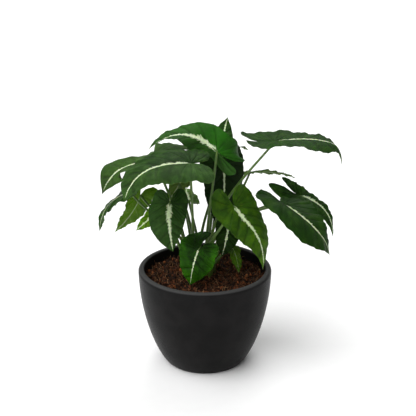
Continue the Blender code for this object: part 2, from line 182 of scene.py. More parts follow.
LEAVES = (
    Leaf("leaf_01", (1, 4), (15, 7, 277), (-28, 13, 297), (-69, 5, 281), (-0.82, -0.25, 0.52),
         broad=(0.7, 0.9), lobe=(0.85, 1.25), fold=(-14, 28), curl=(31, 18), twist=-10, skew=0.1, wave=1.5),
    Leaf("leaf_02", (-14, -6), (-17, -44, 278), (-65, -71, 279), (-92, -99, 250), (-0.17, -0.18, 0.97),
         broad=(1.5, 1.35), lobe=(0.35, 1.1), fold=(23, 4), curl=(60, 38), twist=-10, skew=-0.2, droop=5,
         wave=1.5),
    Leaf("leaf_03", (-22, 8), (-62, 7, 270), (-99, 24, 252), (-127, -6, 226), (0.11, -0.14, 0.98),
         broad=(1.35, 1.3), lobe=(1.3, 1.6), fold=(8, 6), curl=(0, 18), twist=12, skew=-0.8, droop=9),
    Leaf("leaf_04", (-16, 20), (-37, 55, 240), (-43, 80, 246), (-53, 105, 240), (-0.10, 0.35, 0.90)),
    Leaf("leaf_05", (-24, 2), (-93, 4, 226), (-120, 18, 205), (-134, 18, 168), (-0.26, -0.08, 0.96),
         broad=(1.1, 1.05), lobe=(0.9, 1.15), fold=(3, 2), curl=(13, 20), twist=8, skew=-0.3),
    Leaf("leaf_06", (-18, 12), (-82, 30, 212), (-95, 38, 184), (-117, 45, 156), (-0.60, 0.75, 0.35),
         broad=(0.8, 1.2), lobe=(0.6, 0.5), curl=(10, 10)),
    Leaf("leaf_07", (-26, -5), (-52, -14, 212), (-69, -17, 197), (-85, -19, 183), (-0.30, -0.60, 0.70),
         broad=(0.9, 0.9), fold=(10, 10)),
    Leaf("leaf_08", (-20, -5), (-42, -38, 226), (-42, -61, 204), (-38, -63, 173), (0.01, -0.91, 0.42),
         broad=(1.2, 1.4), lobe=(0.9, 0.95), fold=(-13, 1), curl=(26, 25), twist=29),
    Leaf("leaf_09", (-11, 11), (-32, 30, 228), (-44, 31, 207), (-58, 33, 184), (-0.50, 0.80, 0.30),
         broad=(0.8, 0.8)),
    Leaf("leaf_10", (-6, 22), (-21, 58, 195), (-24, 78, 197), (-25, 98, 198), (0.00, -0.20, 0.95)),
    Leaf("leaf_11", (4, 29), (22, 61, 256), (24, 86, 273), (30, 111, 292), (0.00, -0.60, 0.80),
         broad=(0.8, 0.75), fold=(15, 15)),
    Leaf("leaf_12", (7, 16), (86, 4, 291), (138, -3, 295), (173, 1, 278), (0.42, 0.06, 0.90),
         broad=(1.25, 1.15), lobe=(1.2, 0.9), fold=(12, -14), curl=(0, 30), twist=-7, skew=-0.1,
         follow=0.7, droop=-4, bow=(-14, 0, 0), hook=(-4, 0, -17)),
    Leaf("leaf_13", (16, 36), (58, 62, 232), (90, 64, 231), (118, 65, 223), (0.05, 0.42, 0.90),
         broad=(0.8, 0.8), lobe=(0.5, 0.5), fold=(0, 0), curl=(0, 0), wave=1),
    Leaf("leaf_14", (8, 22), (23, 34, 253), (24, 28, 211), (16, 19, 168), (0.42, -0.77, 0.48),
         broad=(1.05, 1.05), lobe=(0.9, 0.95), fold=(4, 6), curl=(21, 20), twist=-4, skew=-0.1,
         bow=(0, 6, 0)),
    Leaf("leaf_15", (-5, -17), (36, -33, 220), (60, -47, 193), (71, -52, 146), (0.51, -0.78, 0.36),
         broad=(1.12, 1), lobe=(0.8, 0.95), fold=(9, -10), curl=(29, 23), twist=15, skew=-0.7, follow=-0.5,
         droop=-3, bow=(-2, -10, 0)),
    Leaf("leaf_16", (-4, -4), (98, -1, 211), (130, -33, 196), (157, -32, 159), (0.53, -0.04, 0.85),
         broad=(1.1, 1.65), lobe=(0.5, 0.45), fold=(22, 2), curl=(0, 45), twist=-25, skew=-0.1,
         follow=0.95, droop=-3, bow=(-10, 0, 18), hook=(-3, 0, -4)),
    Leaf("leaf_17", (4, 9), (124, 50, 204), (153, 53, 186), (166, 34, 160), (-0.01, -0.49, 0.87),
         broad=(0.55, 1), lobe=(1.65, 1.8), fold=(30, -12), curl=(10, 36), twist=45, skew=-0.1, follow=0.7,
         droop=-5, bow=(-10, 0, 14), hook=(-1, -3, -5)),
    Leaf("leaf_18", (-8, -10), (-7, -46, 169), (-14, -48, 148), (-18, -45, 121), (-0.60, -0.67, 0.44),
         broad=(1.6, 1.6), lobe=(1.1, 1.8), fold=(7, -5), curl=(38, 0), twist=25, skew=0.1, follow=1.05,
         droop=4),
    Leaf("leaf_19", (3, -8), (29, -24, 189), (26, -31, 174), (21, -35, 155), (-0.10, -0.90, 0.35),
         broad=(1.35, 1.3)),
    Leaf("leaf_20", (7, -14), (33, -18, 163), (39, -29, 151), (42, -38, 134), (0.50, -0.40, 0.50),
         broad=(0.9, 0.9), lobe=(0.4, 0.4)),
    Leaf("leaf_21", (13, 28), (36, 70, 208), (41, 91, 186), (44, 107, 152), (0.10, 0.75, 0.60),
         broad=(0.9, 0.8), lobe=(0.5, 0.5)),
    Leaf("leaf_22", (-8, 34), (25, 86, 241), (41, 92, 256), (57, 99, 250), (0.05, 0.45, 0.90),
         broad=(0.8, 0.8), fold=(0, 0), curl=(0, 0)),
)


class Stem(NamedTuple):
    """A short stem among the stalks' feet, in millimetres."""
    name: str
    foot: tuple
    radius: float
    height: float


STEMS = (
    Stem("stem_1", (-14, 3), 3.6, 20),
    Stem("stem_2", (10, 3), 3.9, 24),
)

# A stem from bottom to top: shares of its height and of its radius, ringed at the joint
STEM_SHAPE = (
    (0.00, 0.94), (0.16, 0.98), (0.30, 1.00), (0.38, 0.97), (0.42, 0.90), (0.46, 0.97), (0.50, 1.05),
    (0.54, 1.00), (0.58, 0.91), (0.66, 0.88), (0.78, 0.85), (0.85, 0.73), (0.90, 0.56), (0.95, 0.36),
    (0.985, 0.18), (1.00, 0.05),
)


class Litter(NamedTuple):
    """Loose bits strewn over the soil; lengths are in metres."""
    name: str
    per_square_metre: float
    seed: int
    length: float
    thickness: float


CHIPS = Litter("soil_chips", 46000.0, 11, 0.0095, 0.0040)
CRUMBS = Litter("soil_crumbs", 220000.0, 23, 0.0032, 0.0020)
FIBRES = Litter("soil_fibres", 62000.0, 37, 0.0150, 0.00042)


class Lamp(NamedTuple):
    """A soft far lamp: where it shines, how wide it looks in degrees, and its strength."""
    name: str
    aim: tuple
    spread: float
    power: float


LAMPS = (
    Lamp("key_light", (0.66, 0.46, -1.0), 80.0, 3.5),
    Lamp("back_light", (-0.15, -0.75, -0.9), 40.0, 1.3),
)


def colour(red, green, blue):
    """A colour as it looks on a screen, 0 to 255, turned into linear light."""
    shares = [c / 255 for c in (red, green, blue)]
    return tuple(s / 12.92 if s < 0.04045 else ((s + 0.055) / 1.055) ** 2.4 for s in shares) + (1.0,)


class Look(NamedTuple):
    """A leaf's screen colours and its stripe's width in millimetres.

    The three shares after the stripe say how far each half, the tip and the edge go over to bright: painted
    light shining through the blade and painted sheen on it.
    """
    top: tuple = (26, 58, 11)
    bright: tuple = (62, 98, 24)
    under: tuple = (72, 98, 40)
    stripe: float = 4.6
    painted_light: tuple = (0.0, 0.0)
    tip_painted_light: float = 0.0
    rim_painted_light: float = 0.0


# Per leaf colours: the bright colour with the three shares paints light shining through a blade and sheen on
# it, and the darker tops of leaf_14 and leaf_19 are painted shade
LOOKS = {
    "leaf_01": Look((50, 82, 34), (30, 92, 5), painted_light=(0.1, 0.62), stripe=5.4),
    "leaf_02": Look((20, 48, 8), (70, 106, 44), painted_light=(0.3, 0.05), tip_painted_light=0.4, stripe=5.2),
    "leaf_03": Look((48, 78, 26), (84, 114, 54), stripe=4.4),
    "leaf_05": Look((28, 58, 10), (60, 100, 18), (54, 84, 30), stripe=2.6),
    "leaf_06": Look((40, 70, 20), (104, 148, 4), (72, 112, 4), painted_light=(0.5, 0.5)),
    "leaf_07": Look((84, 128, 14), (110, 150, 20), (96, 130, 20), painted_light=(0.5, 0.1)),
    "leaf_08": Look((42, 72, 28), (74, 108, 46), stripe=5.6),
    "leaf_09": Look(under=(88, 114, 44)),
    "leaf_10": Look((92, 122, 58), under=(104, 132, 66)),
    # Painted shade: a darker top for a leaf lying in shade
    "leaf_14": Look((18, 38, 8), (30, 54, 12), (60, 80, 26), stripe=2.6),
    "leaf_15": Look((36, 70, 16), (84, 124, 12), painted_light=(0.15, 0.15), tip_painted_light=0.55, stripe=4.8),
    "leaf_18": Look((12, 34, 2), (46, 104, 3), painted_light=(0.05, 0.05), tip_painted_light=0.9, rim_painted_light=0.7, stripe=2.4),
    # Painted shade: a darker top for a leaf under leaf_15
    "leaf_19": Look((20, 42, 5), (36, 64, 10), stripe=2.4),
    "leaf_20": Look((60, 92, 10), (84, 118, 14), (66, 92, 20), stripe=0.2),
}


# Node trees

VALUE = "NodeSocketFloat"
COLOUR = "NodeSocketColor"
COUNT = "NodeSocketInt"
FINISH = "NodeSocketMaterial"
SHAPE = "NodeSocketGeometry"


class Wire:
    """A value inside a node tree, so that a formula can be written as one."""

    def __init__(self, tree, socket):
        self.tree = tree
        self.socket = socket

    def math(self, operation, *others):
        node = self.tree.nodes.new("ShaderNodeMath")
        node.operation = operation
        for slot, value in zip(node.inputs, (self, *others)):
            link(self.tree, value, slot)
        return Wire(self.tree, node.outputs[0])

    def __add__(self, other):
        return self.math("ADD", other)

    def __mul__(self, other):
        return self.math("MULTIPLY", other)

    def __sub__(self, other):
        return self.math("SUBTRACT", other)

    def __rsub__(self, other):
        return self.math("MULTIPLY", -1.0).math("ADD", other)

    def __truediv__(self, other):
        return self.math("DIVIDE", other)

    def __rtruediv__(self, other):
        return self.math("POWER", -1.0) * other

    def __pow__(self, other):
        return self.math("POWER", other)

    __radd__ = __add__
    __rmul__ = __mul__

    def step(self, low, high, to_low=0.0, to_high=1.0, smooth=True):
        """A ramp from one value to another, eased at both ends unless smooth is off."""
        node = add(self.tree, "ShaderNodeMapRange", {"Value": self, "From Min": low, "From Max": high,
                                                     "To Min": to_low, "To Max": to_high})
        node.interpolation_type = "SMOOTHSTEP" if smooth else "LINEAR"
        return Wire(self.tree, node.outputs[0])


def link(tree, value, slot):
    """Feeds an input from a wire, or gives it a plain value."""
    if isinstance(value, Wire):
        tree.links.new(value.socket, slot)
    else:
        slot.default_value = value


def add(tree, kind, inputs=None, **settings):
    """A new node with its settings, and its inputs linked to wires or given values."""
    node = tree.nodes.new(kind)
    for key, value in settings.items():
        setattr(node, key, value)
    for key, value in (inputs or {}).items():
        link(tree, value, node.inputs[key])
    return node


def out(node, key=0):
    return Wire(node.id_data, node.outputs[key])


def vector(tree, x=0.0, y=0.0, z=0.0):
    return out(add(tree, "ShaderNodeCombineXYZ", {"X": x, "Y": y, "Z": z}))


def object_place(tree):
    return out(add(tree, "ShaderNodeTexCoord"), "Object")


def noise(tree, place, scale, detail=3.0, roughness=0.55, key="Fac"):
    return out(add(tree, "ShaderNodeTexNoise", {"Vector": place, "Scale": scale, "Detail": detail,
                                                "Roughness": roughness}), key)


def stretched(tree, place, factors):
    return out(add(tree, "ShaderNodeVectorMath", {0: place, 1: factors}, operation="MULTIPLY"))


def mix(tree, share, first, second):
    """A blend of two colours."""
    node = add(tree, "ShaderNodeMix", data_type="RGBA")
    for slot, value in ((0, share), (6, first), (7, second)):
        link(tree, value, node.inputs[slot])
    return Wire(tree, node.outputs[2])


def open_group(name, kind, inputs, outputs):
    """A node group with named sockets; returns its tree, its inputs as wires, and its output node."""
    tree = bpy.data.node_groups.new(name, kind)
    for label, sort, value in inputs:
        socket = tree.interface.new_socket(label, in_out="INPUT", socket_type=sort)
        if value is not None:
            socket.default_value = value
    for label, sort in outputs:
        tree.interface.new_socket(label, in_out="OUTPUT", socket_type=sort)
    source = tree.nodes.new("NodeGroupInput")
    wires = {label: Wire(tree, source.outputs[label]) for label, _, _ in inputs}
    return tree, wires, tree.nodes.new("NodeGroupOutput")


def close_group(tree, sink, values):
    for label, wire in values.items():
        link(tree, wire, sink.inputs[label])
    return tree


# Surface effects that several finishes share

def grain_group():
    """Soft blotches and fine grit: a colour between two, and a height for bump."""
    tree, given, sink = open_group("grain", "ShaderNodeTree", [
        ("Colour", COLOUR, (0.5, 0.5, 0.5, 1)),
        ("Second Colour", COLOUR, (0.3, 0.3, 0.3, 1)),
        ("Blotch Scale", VALUE, 40.0), ("Grit Scale", VALUE, 900.0)],
        [("Colour", COLOUR), ("Height", VALUE), ("Grit", VALUE)])
    place = object_place(tree)
    blotch = noise(tree, place, given["Blotch Scale"], 4.0)
    grit = noise(tree, place, given["Grit Scale"], 2.0, 0.6)
    share = (blotch.step(0.32, 0.68) * 0.65) + (grit.step(0.35, 0.7) * 0.35)
    return close_group(tree, sink, {"Colour": mix(tree, share, given["Colour"], given["Second Colour"]),
                                    "Height": grit * 0.6 + blotch * 0.4, "Grit": grit})


def blade_group():
    """A leaf blade from its own flat coordinates: net of veins, mottling and the feathered pale stripe, with
    painted light where a blade is marked bright and painted shade along the sunken veins.
    """
    tree, given, sink = open_group("blade_pattern", "ShaderNodeTree", [
        ("Top", COLOUR, (0.02, 0.05, 0.01, 1)),
        ("Bright", COLOUR, (0.05, 0.12, 0.01, 1)),
        ("Underside", COLOUR, (0.07, 0.12, 0.03, 1)),
        ("Stripe", COLOUR, (0.6, 0.7, 0.45, 1)),
        ("Stripe Width", VALUE, 0.0036), ("Blade Length", VALUE, 0.09)],
        [("Colour", COLOUR), ("Roughness", VALUE), ("Height", VALUE)])
    place = add(tree, "ShaderNodeAttribute", attribute_name="blade_place")
    parts = add(tree, "ShaderNodeSeparateXYZ", {"Vector": out(place, "Vector")})
    across, along, phase = out(parts, "X"), out(parts, "Y"), out(parts, "Z")
    state = add(tree, "ShaderNodeSeparateXYZ", {
        "Vector": out(add(tree, "ShaderNodeAttribute", attribute_name="blade_state"), "Vector")})
    upper, painted_light = out(state, "X"), out(state, "Y")
    away = across.math("ABSOLUTE")
    length = given["Blade Length"]
    share = along / length

    slanted = along - away * VEIN_SLANT
    feather = vector(tree, across * FEATHER_ACROSS, slanted * FEATHER_ALONG, share)
    streaks = noise(tree, feather, 1.0, 3.0, 0.6)
    ragged = noise(tree, vector(tree, across * RAGGED_SCALE, along * RAGGED_SCALE, 3.0), 1.0, 3.0, 0.65)
    taper = share.step(-0.02, 0.05) * share.step(0.25, 1.0, 1.0, 0.12, smooth=False)
    wander = noise(tree, vector(tree, length * 60.0, along * 160.0, across.math("SIGN")), 1.0, 2.0)
    width = given["Stripe Width"] * 0.5 * taper * wander.step(0.3, 0.7, 0.6, 1.25)
    edge = away - width * (0.15 + streaks.step(0.30, 0.74) * 1.45 + ragged.step(0.3, 0.7) * 0.35)
    stripe = edge.step(STRIPE_BLUR, -STRIPE_BLUR) * share.step(0.975, 0.93)

    near_vein = phase.math("ADD", 0.5).math("FRACT").math("SUBTRACT", 0.5).math("ABSOLUTE")
    reach = away.step(0.0, 0.03, 1.0, 0.3, smooth=False)
    vein = near_vein.step(VEIN_WIDTH, 0.0) * reach
    halo = near_vein.step(HALO_WIDTH, 0.0) * reach
    flat = vector(tree, across, along, 0.0)
    cells = add(tree, "ShaderNodeTexVoronoi", {"Vector": flat, "Scale": NET_SCALE},
                feature="DISTANCE_TO_EDGE")
    net = out(cells, "Distance").step(0.0, 0.16)
    mottle = noise(tree, vector(tree, across, along, length * 50.0), MOTTLE_SCALE, 4.0, 0.6).step(0.42, 0.72)
    deep = noise(tree, vector(tree, across, along, length * 90.0), DEEP_SCALE, 3.0).step(0.35, 0.65)
    fine = noise(tree, vector(tree, across, along, 1.0), FINE_SCALE, 2.0)

    # Painted light: the blade's share of painted light, with mottle, veins and net, blends the top towards
    # bright
    bright = (painted_light + mottle * 0.38 + vein * 0.14 + (1.0 - net) * 0.05).math("MINIMUM", 1.0)
    top = mix(tree, bright, given["Top"], given["Bright"])
    # Darker in random patches, and painted shade in the grooves along the sunken veins
    top = mix(tree, (1.0 - deep) * 0.32 + halo * 0.40, top, colour(10, 24, 4))
    pale = mix(tree, streaks.step(0.25, 0.75) * 0.35, given["Stripe"], given["Bright"])
    top = mix(tree, stripe, top, pale)
    rib = away.step(0.0014, 0.0003) * 0.55
    # The underside blends towards bright by mottle and by painted light
    mottle_and_painted_light = (mottle * 0.30 + painted_light * 0.5).math("MINIMUM", 1.0)
    below = mix(tree, mottle_and_painted_light, given["Underside"], given["Bright"])
    ribbed = (rib * 0.7 + vein * 0.12 + (1.0 - net) * 0.05).math("MINIMUM", 1.0)
    below = mix(tree, ribbed, below, given["Stripe"])
    shown = mix(tree, upper, below, top)
    rough = 0.48 + fine * 0.10 + stripe * 0.06 + (1.0 - upper) * 0.16
    height = net * 0.25 + fine * 0.25 + halo * -0.8 + stripe * 0.15
    return close_group(tree, sink, {"Colour": shown, "Roughness": rough, "Height": height})


GRAIN = grain_group()
BLADE = blade_group()
FLESH = {"Subsurface_Radius": (0.6, 1.0, 0.25), "Subsurface_Scale": 0.0012}


def start_material(name, **sockets):
    made = bpy.data.materials.new(name)
    made.use_nodes = True
    shader = made.node_tree.nodes["Principled BSDF"]
    for label, value in sockets.items():
        shader.inputs[label.replace("_", " ")].default_value = value
    return made, made.node_tree, shader


def bump(tree, shader, height, distance, strength=1.0):
    node = add(tree, "ShaderNodeBump", {"Height": height, "Distance": distance, "Strength": strength})
    link(tree, out(node), shader.inputs["Normal"])


def grain_finish(name, first, second, blotch, grit, rough, relief, **sockets):
    """A finish with soft blotches and fine grit; rough is its lowest and highest roughness."""
    made, tree, shader = start_material(name, **sockets)
    node = add(tree, "ShaderNodeGroup", {"Colour": first, "Second Colour": second, "Blotch Scale": blotch,
                                         "Grit Scale": grit}, node_tree=GRAIN)
    link(tree, out(node, "Colour"), shader.inputs["Base Color"])
    link(tree, out(node, "Grit").step(0.2, 0.8, *rough), shader.inputs["Roughness"])
    bump(tree, shader, out(node, "Height"), relief)
    return made


def pot_finish():
    """Matt charcoal with fine grit, and a painted highlight that makes the top of the rim paler."""
    made = grain_finish("pot_charcoal", colour(30, 29, 29), colour(21, 21, 21), blotch=45.0, grit=1300.0,
                        rough=(0.30, 0.46), relief=0.00022, Specular_IOR_Level=0.04)
    tree = made.node_tree
    base = tree.nodes["Principled BSDF"].inputs["Base Color"]
    charcoal = Wire(tree, base.links[0].from_socket)
    height = out(add(tree, "ShaderNodeSeparateXYZ", {"Vector": object_place(tree)}), "Z")
    # Painted highlight: the top of the rim blends towards pale grey
    painted_rim_highlight = height.step(POT_HEIGHT - RIM_PAINTED_HIGHLIGHT_DEPTH, POT_HEIGHT - 0.2 * RIM_PAINTED_HIGHLIGHT_DEPTH) * RIM_PAINTED_HIGHLIGHT_SHARE
    link(tree, mix(tree, painted_rim_highlight, charcoal, colour(74, 74, 74)), base)
    return made


def blade_finish(name, look, length):
    """Satin leaf skin with the blade's pattern, and light scattered a little way inside."""
    made, tree, shader = start_material(name, Subsurface_Weight=0.35, Specular_IOR_Level=0.065, **FLESH)
    node = add(tree, "ShaderNodeGroup", {
        "Top": colour(*look.top), "Bright": colour(*look.bright), "Underside": colour(*look.under),
        "Stripe": colour(*STRIPE_COLOUR), "Stripe Width": look.stripe * MM, "Blade Length": length,
    }, node_tree=BLADE)
    link(tree, out(node, "Colour"), shader.inputs["Base Color"])
    link(tree, out(node, "Roughness"), shader.inputs["Roughness"])
    bump(tree, shader, out(node, "Height"), 0.0006)
    return made


def stalk_finish():
    """Green along the stalk, paler and yellower towards its foot, with fine lengthwise lines."""
    made, tree, shader = start_material("stalk_green", Subsurface_Weight=0.2, **FLESH)
    along = out(add(tree, "ShaderNodeAttribute", attribute_name="along"), "Fac")
    place = object_place(tree)
    blotch = noise(tree, place, 120.0, 3.0)
    lines = noise(tree, stretched(tree, place, (1.0, 1.0, 0.05)), 1800.0, 2.0)
    shade = (along.step(0.0, 0.55) * 0.7 + blotch.step(0.35, 0.7) * 0.3).math("MINIMUM", 1.0)
    green = mix(tree, shade, colour(112, 138, 54), colour(62, 94, 28))
    green = mix(tree, lines.step(0.4, 0.8) * 0.35, green, colour(40, 66, 22))
    link(tree, green, shader.inputs["Base Color"])
    link(tree, lines.step(0.2, 0.8, 0.38, 0.55), shader.inputs["Roughness"])
    bump(tree, shader, lines, 0.0002, 0.6)
    return made


def crumb_finish(name, dark, light, pale_share):
    """Brown plant matter: each bit has its own shade of brown, with painted shade of hollows in large dark
    patches, pores and fibrous streaks.
    """
    made, tree, shader = start_material(name, Specular_IOR_Level=0.18)
    shade = out(add(tree, "ShaderNodeAttribute", attribute_name="shade"), "Fac")
    place = object_place(tree)
    pores = noise(tree, place, 700.0, 4.0, 0.65)
    streaks = noise(tree, stretched(tree, place, (1.0, 0.25, 0.6)), 1600.0, 2.0)
    lit = shade.step(1.0 - pale_share, 1.0) * 0.6 + shade * 0.3 + streaks.step(0.45, 0.75) * 0.25
    brown = mix(tree, lit.math("MINIMUM", 1.0), dark, light)
    # Painted shade: large noise patches darken towards near black where hollows would lie in shade
    painted_hollow_shade = noise(tree, place, 110.0, 3.0, 0.6).step(0.54, 0.38) * 0.75
    brown = mix(tree, painted_hollow_shade, brown, colour(16, 8, 4))
    brown = mix(tree, pores.step(0.55, 0.32) * 0.8, brown, colour(12, 6, 3))
    link(tree, brown, shader.inputs["Base Color"])
    link(tree, pores.step(0.2, 0.8, 0.95, 0.75), shader.inputs["Roughness"])
    bump(tree, shader, pores * 0.6 + streaks * 0.4, 0.0004)
    return made


# Geometry trees

def geometry_group(name, inputs):
    sockets = [("Geometry", SHAPE, None)] + inputs
    return open_group(name, "GeometryNodeTree", sockets, [("Geometry", SHAPE)])


def named(tree, name, sort="FLOAT"):
    return out(add(tree, "GeometryNodeInputNamedAttribute", {"Name": name}, data_type=sort))


def finish_group(tree, given, sink, shape, selection=None):
    """Every tree ends in Realize Instances and Set Material."""
    real = out(add(tree, "GeometryNodeRealizeInstances", {"Geometry": shape}))
    inputs = {"Geometry": real, "Material": given["Finish"]}
    if selection is not None:
        inputs["Selection"] = selection
    return close_group(tree, sink, {"Geometry": out(add(tree, "GeometryNodeSetMaterial", inputs))})


def drawn_in(radius, past):
    """How far a rounding of that radius draws a surface in, so far past the place where it starts."""
    return radius - (radius ** 2.0 - past * past).math("MAXIMUM", 0.0) ** 0.5


def pot_tree():
    """The pot turned from its rule: a rounded belly outside, and inside the same less the wall."""
    tree, given, sink = geometry_group("turned_pot", [
        ("Height", VALUE, 0.1), ("Base Radius", VALUE, 0.05),
        ("Rim Radius", VALUE, 0.08), ("Belly Reach", VALUE, 2.0),
        ("Belly Round", VALUE, 1.3), ("Wall", VALUE, 0.006),
        ("Rim Wall", VALUE, 0.007), ("Outer Rounding", VALUE, 0.004),
        ("Inner Rounding", VALUE, 0.002),
        ("Floor", VALUE, 0.007), ("Foot Rounding", VALUE, 0.006),
        ("Sides", COUNT, 96), ("Steps", COUNT, 32),
        ("Finish", FINISH, None)])
    steps = given["Steps"]
    rows = steps * 2.0 + 2.0
    grid = add(tree, "GeometryNodeMeshGrid", {"Size X": 1.0, "Size Y": 1.0,
                                              "Vertices X": given["Sides"] + 1.0, "Vertices Y": rows})
    index = out(add(tree, "GeometryNodeInputIndex"))
    row = index.math("MODULO", rows)
    turn = ((index - row) / rows) / given["Sides"] * (2 * math.pi)
    inside = row.math("GREATER_THAN", steps + 0.5)
    climb = ((row - 1.0) / (steps - 1.0)).math("MINIMUM", 1.0).math("MAXIMUM", 0.0)
    fall = ((row - steps - 1.0) / (steps - 1.0)).math("MINIMUM", 1.0).math("MAXIMUM", 0.0)
    ease = (climb - fall).step(0.0, 1.0)
    bottom = inside * given["Floor"]
    z = bottom + (given["Height"] - bottom) * ease
    share = z / given["Height"]
    below_rim = (1.0 - share).math("MAXIMUM", 0.0)
    belly = (1.0 - below_rim ** given["Belly Reach"]) ** (1.0 / given["Belly Round"])
    outer = given["Base Radius"] + (given["Rim Radius"] - given["Base Radius"]) * belly
    wall = given["Wall"] + (given["Rim Wall"] - given["Wall"]) * share
    rounding = given["Outer Rounding"] + (given["Inner Rounding"] - given["Outer Rounding"]) * inside
    over = (z - (given["Height"] - rounding)).math("MAXIMUM", 0.0)
    cut = drawn_in(rounding, over)
    under = (given["Floor"] + given["Foot Rounding"] - z).math("MAXIMUM", 0.0)
    toe = drawn_in(given["Foot Rounding"], under)
    radius = outer - cut + inside * (cut * 2.0 - wall - toe)
    closed = row.math("GREATER_THAN", 0.5) * (rows - 1.5 - row).math("GREATER_THAN", 0.0)
    radius = radius * closed
    place = vector(tree, radius * turn.math("COSINE"), radius * turn.math("SINE"), z)
    body = add(tree, "GeometryNodeSetPosition", {"Geometry": out(grid, "Mesh"), "Position": place})
    whole = add(tree, "GeometryNodeMergeByDistance", {"Geometry": out(body), "Distance": WELD})
    return finish_group(tree, given, sink, out(whole))


def stalk_tree():
    """Each loose edge path with a thickness becomes a round stalk, joined to the blade it comes with."""
    tree, given, sink = geometry_group("stalk_on_path", [
        ("Sides", COUNT, 12), ("Finish", FINISH, None)])
    thick = named(tree, "thickness")
    is_path = thick.math("GREATER_THAN", 0.00001)
    path = add(tree, "GeometryNodeMeshToCurve", {"Mesh": given["Geometry"], "Selection": is_path})
    ring = add(tree, "GeometryNodeCurvePrimitiveCircle", {"Resolution": given["Sides"], "Radius": 1.0})
    tube = add(tree, "GeometryNodeCurveToMesh", {"Curve": out(path), "Profile Curve": out(ring, "Curve"),
                                                 "Scale": thick, "Fill Caps": True})
    blade = add(tree, "GeometryNodeDeleteGeometry", {"Geometry": given["Geometry"], "Selection": is_path},
                domain="POINT")
    join = add(tree, "GeometryNodeJoinGeometry")
    link(tree, out(tube), join.inputs[0])
    link(tree, out(blade), join.inputs[0])
    return finish_group(tree, given, sink, out(join), is_path)


def random_vector(tree, low, high, seed):
    node = add(tree, "FunctionNodeRandomValue", {"Seed": seed}, data_type="FLOAT_VECTOR")
    link(tree, low, node.inputs[0])
    link(tree, high, node.inputs[1])
    return Wire(tree, node.outputs[0])


def scattered(tree, given, shape, scale, settle):
    """Instances of a shape over the soil, each turned, sized, sunk and shaded at random."""
    seed = given["Seed"]
    points = add(tree, "GeometryNodeDistributePointsOnFaces", {
        "Mesh": given["Geometry"], "Density": given["Per Square Metre"], "Seed": seed})
    lift = random_vector(tree, (0, 0, settle[0]), (0, 0, settle[1]), seed + 1.0)
    raised = add(tree, "GeometryNodeSetPosition", {"Geometry": out(points, "Points"), "Offset": lift})
    turn = random_vector(tree, (0, 0, 0), (FULL_TURN, FULL_TURN, FULL_TURN), seed + 2.0)
    laid = add(tree, "GeometryNodeInstanceOnPoints", {"Points": out(raised), "Instance": shape,
                                                      "Rotation": turn, "Scale": scale})
    value = add(tree, "FunctionNodeRandomValue", {"Seed": seed + 5.0}, data_type="FLOAT")
    shaded = add(tree, "GeometryNodeStoreNamedAttribute", {"Geometry": out(laid), "Name": "shade",
                                                           "Value": out(value, 1)},
                 data_type="FLOAT", domain="INSTANCE")
    return out(add(tree, "GeometryNodeRealizeInstances", {"Geometry": out(shaded)}))


def roughened(tree, shape, scale, amount):
    """Pushes points about by a smooth noise."""
    here = out(add(tree, "GeometryNodeInputPosition"))
    cloud = noise(tree, here, scale, 2.0, key="Color")
    push = add(tree, "ShaderNodeVectorMath", {0: cloud, 1: (0.5, 0.5, 0.5)}, operation="SUBTRACT")
    push = add(tree, "ShaderNodeVectorMath", {0: out(push), 3: amount}, operation="SCALE")
    return out(add(tree, "GeometryNodeSetPosition", {"Geometry": shape, "Offset": out(push)}))


SCATTER_INPUTS = [("Per Square Metre", VALUE, 1000.0), ("Seed", COUNT, 1),
                  ("Length", VALUE, 0.004), ("Thickness", VALUE, 0.001),
                  ("Finish", FINISH, None)]


def chip_tree():
    """Irregular flakes and crumbs."""
    tree, given, sink = geometry_group("scattered_chips", SCATTER_INPUTS)
    shape = out(add(tree, "GeometryNodeMeshIcoSphere", {"Radius": 0.5, "Subdivisions": 1}), "Mesh")
    long, thin = given["Length"], given["Thickness"]
    scale = random_vector(tree, vector(tree, long * 0.35, long * 0.25, thin * 0.5),
                          vector(tree, long, long * 0.6, thin), given["Seed"] + 3.0)
    lying = scattered(tree, given, shape, scale, (-0.0008, 0.0014))
    return finish_group(tree, given, sink, roughened(tree, lying, 420.0, long * 0.5))


def fibre_tree():
    """Thin bent strands of coir."""
    tree, given, sink = geometry_group("scattered_fibres", SCATTER_INPUTS)
    line = out(add(tree, "GeometryNodeMeshLine", {"Count": 8, "Start Location": (-0.5, 0, 0),
                                                  "Offset": (1 / 7, 0, 0)}))
    scale = random_vector(tree, vector(tree, given["Length"] * 0.3, 1.0, 1.0),
                          vector(tree, given["Length"], 1.0, 1.0), given["Seed"] + 3.0)
    lying = scattered(tree, given, line, scale, (0.0002, 0.0020))
    bent = roughened(tree, lying, 130.0, 0.010)
    path = add(tree, "GeometryNodeMeshToCurve", {"Mesh": bent})
    ring = add(tree, "GeometryNodeCurvePrimitiveCircle", {"Resolution": 4, "Radius": 0.5})
    tube = add(tree, "GeometryNodeCurveToMesh", {"Curve": out(path), "Profile Curve": out(ring, "Curve"),
                                                 "Scale": given["Thickness"], "Fill Caps": True})
    return finish_group(tree, given, sink, out(tube))


